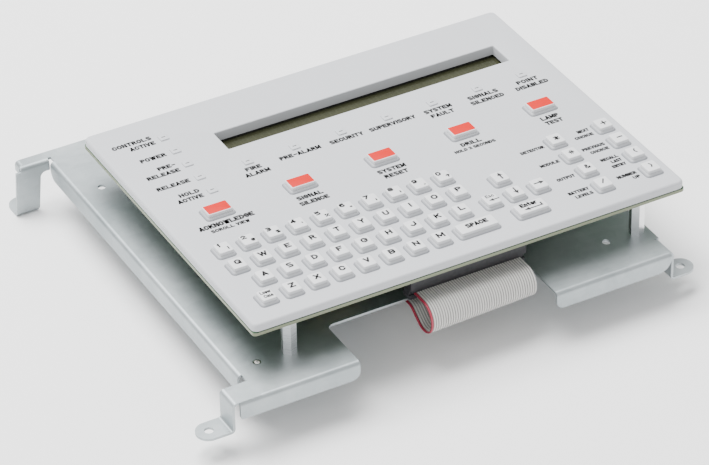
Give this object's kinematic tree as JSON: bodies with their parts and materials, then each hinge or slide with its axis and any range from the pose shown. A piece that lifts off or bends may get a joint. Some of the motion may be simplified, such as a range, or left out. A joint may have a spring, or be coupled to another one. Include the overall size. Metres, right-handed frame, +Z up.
{
  "type": "fire alarm panel keyboard and display unit",
  "caption": "Silicone keypad with display window on a circuit board, carried by hex standoffs over a bent sheet-metal bracket with screw feet; the keys press in.",
  "frame": {"origin": "midway between the screw holes of the two rear feet, on the plane of their undersides", "axes": "+X to the right along the rows of keys, +Y to the rear, +Z up out of the keypad's face"},
  "size_m": [0.2629, 0.2309, 0.0546],
  "materials": {
    "galvanised_sheet": "satin zinc plate",
    "plated_fasteners": "bright plate",
    "bright_aluminium": "satin",
    "board_laminate": "solder mask, satin",
    "white_silicone": "matte",
    "black_plate": "satin",
    "display_glass": "gloss",
    "white_plastic": "matte",
    "black_plastic": "matte",
    "contact_metal": "bright",
    "grey_vinyl": "satin",
    "chip_epoxy": "matte",
    "resistor_epoxy": "satin",
    "blue_plastic": "satin",
    "red_silicone": "matte",
    "key_silicone": "matte"
  },
  "bodies": {
    "panel": {"mounting_bracket": "galvanised_sheet", "clinch_nut": "plated_fasteners", "hex_standoffs": "bright_aluminium", "lower_screws": "plated_fasteners", "upper_screws": "plated_fasteners", "circuit_board": "board_laminate", "keypad_mat": "white_silicone", "lcd_board": "board_laminate", "lcd_bezel": "black_plate", "lcd_glass": "display_glass", "lcd_backlight": "white_plastic", "lcd_spacers": "bright_aluminium", "lcd_screws": "plated_fasteners", "lcd_pin_strip": "black_plastic", "status_leds": "white_plastic", "ribbon_header": "black_plastic", "header_pins": "contact_metal", "ribbon_socket": "black_plastic", "ribbon_cable": "grey_vinyl", "far_socket": "black_plastic", "cable_clip": "white_plastic", "controller_chip": "chip_epoxy", "driver_chips": "chip_epoxy", "resistor_networks": "resistor_epoxy", "trimmer_body": "blue_plastic"},
    "trimmer": {"trimmer_rotor": "white_plastic"},
    "acknowledge_button_body": {"acknowledge_button": "red_silicone"},
    "silence_button_body": {"silence_button": "red_silicone"},
    "reset_button_body": {"reset_button": "red_silicone"},
    "drill_button_body": {"drill_button": "red_silicone"},
    "lamp_test_button_body": {"lamp_test_button": "red_silicone"},
    "key_star_body": {"key_star": "key_silicone"},
    "key_hash_body": {"key_hash": "key_silicone"},
    "key_ampersand_body": {"key_ampersand": "key_silicone"},
    "key_slash_body": {"key_slash": "key_silicone"},
    "key_plus_body": {"key_plus": "key_silicone"},
    "key_minus_body": {"key_minus": "key_silicone"},
    "key_open_bracket_body": {"key_open_bracket": "key_silicone"},
    "key_close_bracket_body": {"key_close_bracket": "key_silicone"},
    "key_up_body": {"key_up": "key_silicone"},
    "key_down_body": {"key_down": "key_silicone"},
    "key_right_body": {"key_right": "key_silicone"},
    "key_escape_body": {"key_escape": "key_silicone"},
    "key_enter_body": {"key_enter": "key_silicone"},
    "key_space_body": {"key_space": "key_silicone"},
    "key_lower_case_body": {"key_lower_case": "key_silicone"},
    "key_1_body": {"key_1": "key_silicone"},
    "key_2_body": {"key_2": "key_silicone"},
    "key_3_body": {"key_3": "key_silicone"},
    "key_4_body": {"key_4": "key_silicone"},
    "key_5_body": {"key_5": "key_silicone"},
    "key_6_body": {"key_6": "key_silicone"},
    "key_7_body": {"key_7": "key_silicone"},
    "key_8_body": {"key_8": "key_silicone"},
    "key_9_body": {"key_9": "key_silicone"},
    "key_0_body": {"key_0": "key_silicone"},
    "letters_upper_row_body": {"letters_upper_row": "key_silicone"},
    "letters_home_row_body": {"letters_home_row": "key_silicone"},
    "letters_lower_row_body": {"letters_lower_row": "key_silicone"}
  },
  "joints": [
    {"name": "acknowledge_button_press", "type": "slide", "parent": "panel", "child": "acknowledge_button_body", "axis": [0, 0, -1], "range_m": [0, 0.0012], "stiffness_N_per_m": 800},
    {"name": "silence_button_press", "type": "slide", "parent": "panel", "child": "silence_button_body", "axis": [0, 0, -1], "range_m": [0, 0.0012], "stiffness_N_per_m": 800},
    {"name": "reset_button_press", "type": "slide", "parent": "panel", "child": "reset_button_body", "axis": [0, 0, -1], "range_m": [0, 0.0012], "stiffness_N_per_m": 800},
    {"name": "drill_button_press", "type": "slide", "parent": "panel", "child": "drill_button_body", "axis": [0, 0, -1], "range_m": [0, 0.0012], "stiffness_N_per_m": 800},
    {"name": "lamp_test_button_press", "type": "slide", "parent": "panel", "child": "lamp_test_button_body", "axis": [0, 0, -1], "range_m": [0, 0.0012], "stiffness_N_per_m": 800},
    {"name": "key_star_press", "type": "slide", "parent": "panel", "child": "key_star_body", "axis": [0, 0, -1], "range_m": [0, 0.0012], "stiffness_N_per_m": 800},
    {"name": "key_hash_press", "type": "slide", "parent": "panel", "child": "key_hash_body", "axis": [0, 0, -1], "range_m": [0, 0.0012], "stiffness_N_per_m": 800},
    {"name": "key_ampersand_press", "type": "slide", "parent": "panel", "child": "key_ampersand_body", "axis": [0, 0, -1], "range_m": [0, 0.0012], "stiffness_N_per_m": 800},
    {"name": "key_slash_press", "type": "slide", "parent": "panel", "child": "key_slash_body", "axis": [0, 0, -1], "range_m": [0, 0.0012], "stiffness_N_per_m": 800},
    {"name": "key_plus_press", "type": "slide", "parent": "panel", "child": "key_plus_body", "axis": [0, 0, -1], "range_m": [0, 0.0012], "stiffness_N_per_m": 800},
    {"name": "key_minus_press", "type": "slide", "parent": "panel", "child": "key_minus_body", "axis": [0, 0, -1], "range_m": [0, 0.0012], "stiffness_N_per_m": 800},
    {"name": "key_open_bracket_press", "type": "slide", "parent": "panel", "child": "key_open_bracket_body", "axis": [0, 0, -1], "range_m": [0, 0.0012], "stiffness_N_per_m": 800},
    {"name": "key_close_bracket_press", "type": "slide", "parent": "panel", "child": "key_close_bracket_body", "axis": [0, 0, -1], "range_m": [0, 0.0012], "stiffness_N_per_m": 800},
    {"name": "key_up_press", "type": "slide", "parent": "panel", "child": "key_up_body", "axis": [0, 0, -1], "range_m": [0, 0.0012], "stiffness_N_per_m": 800},
    {"name": "key_down_press", "type": "slide", "parent": "panel", "child": "key_down_body", "axis": [0, 0, -1], "range_m": [0, 0.0012], "stiffness_N_per_m": 800},
    {"name": "key_right_press", "type": "slide", "parent": "panel", "child": "key_right_body", "axis": [0, 0, -1], "range_m": [0, 0.0012], "stiffness_N_per_m": 800},
    {"name": "key_escape_press", "type": "slide", "parent": "panel", "child": "key_escape_body", "axis": [0, 0, -1], "range_m": [0, 0.0012], "stiffness_N_per_m": 800},
    {"name": "key_enter_press", "type": "slide", "parent": "panel", "child": "key_enter_body", "axis": [0, 0, -1], "range_m": [0, 0.0012], "stiffness_N_per_m": 800},
    {"name": "key_space_press", "type": "slide", "parent": "panel", "child": "key_space_body", "axis": [0, 0, -1], "range_m": [0, 0.0012], "stiffness_N_per_m": 800},
    {"name": "key_lower_case_press", "type": "slide", "parent": "panel", "child": "key_lower_case_body", "axis": [0, 0, -1], "range_m": [0, 0.0012], "stiffness_N_per_m": 800},
    {"name": "key_1_press", "type": "slide", "parent": "panel", "child": "key_1_body", "axis": [0, 0, -1], "range_m": [0, 0.0012], "stiffness_N_per_m": 800},
    {"name": "key_2_press", "type": "slide", "parent": "panel", "child": "key_2_body", "axis": [0, 0, -1], "range_m": [0, 0.0012], "stiffness_N_per_m": 800},
    {"name": "key_3_press", "type": "slide", "parent": "panel", "child": "key_3_body", "axis": [0, 0, -1], "range_m": [0, 0.0012], "stiffness_N_per_m": 800},
    {"name": "key_4_press", "type": "slide", "parent": "panel", "child": "key_4_body", "axis": [0, 0, -1], "range_m": [0, 0.0012], "stiffness_N_per_m": 800},
    {"name": "key_5_press", "type": "slide", "parent": "panel", "child": "key_5_body", "axis": [0, 0, -1], "range_m": [0, 0.0012], "stiffness_N_per_m": 800},
    {"name": "key_6_press", "type": "slide", "parent": "panel", "child": "key_6_body", "axis": [0, 0, -1], "range_m": [0, 0.0012], "stiffness_N_per_m": 800},
    {"name": "key_7_press", "type": "slide", "parent": "panel", "child": "key_7_body", "axis": [0, 0, -1], "range_m": [0, 0.0012], "stiffness_N_per_m": 800},
    {"name": "key_8_press", "type": "slide", "parent": "panel", "child": "key_8_body", "axis": [0, 0, -1], "range_m": [0, 0.0012], "stiffness_N_per_m": 800},
    {"name": "key_9_press", "type": "slide", "parent": "panel", "child": "key_9_body", "axis": [0, 0, -1], "range_m": [0, 0.0012], "stiffness_N_per_m": 800},
    {"name": "key_0_press", "type": "slide", "parent": "panel", "child": "key_0_body", "axis": [0, 0, -1], "range_m": [0, 0.0012], "stiffness_N_per_m": 800},
    {"name": "letters_upper_row_press", "type": "slide", "parent": "panel", "child": "letters_upper_row_body", "axis": [0, 0, -1], "range_m": [0, 0.0012], "stiffness_N_per_m": 800},
    {"name": "letters_home_row_press", "type": "slide", "parent": "panel", "child": "letters_home_row_body", "axis": [0, 0, -1], "range_m": [0, 0.0012], "stiffness_N_per_m": 800},
    {"name": "letters_lower_row_press", "type": "slide", "parent": "panel", "child": "letters_lower_row_body", "axis": [0, 0, -1], "range_m": [0, 0.0012], "stiffness_N_per_m": 800},
    {"name": "trimmer_turn", "type": "hinge", "parent": "panel", "child": "trimmer", "pos_m": [0.064, -0.1327, 0.0437], "axis": [0, 0, -1], "range_deg": [-135, 135]}
  ]
}
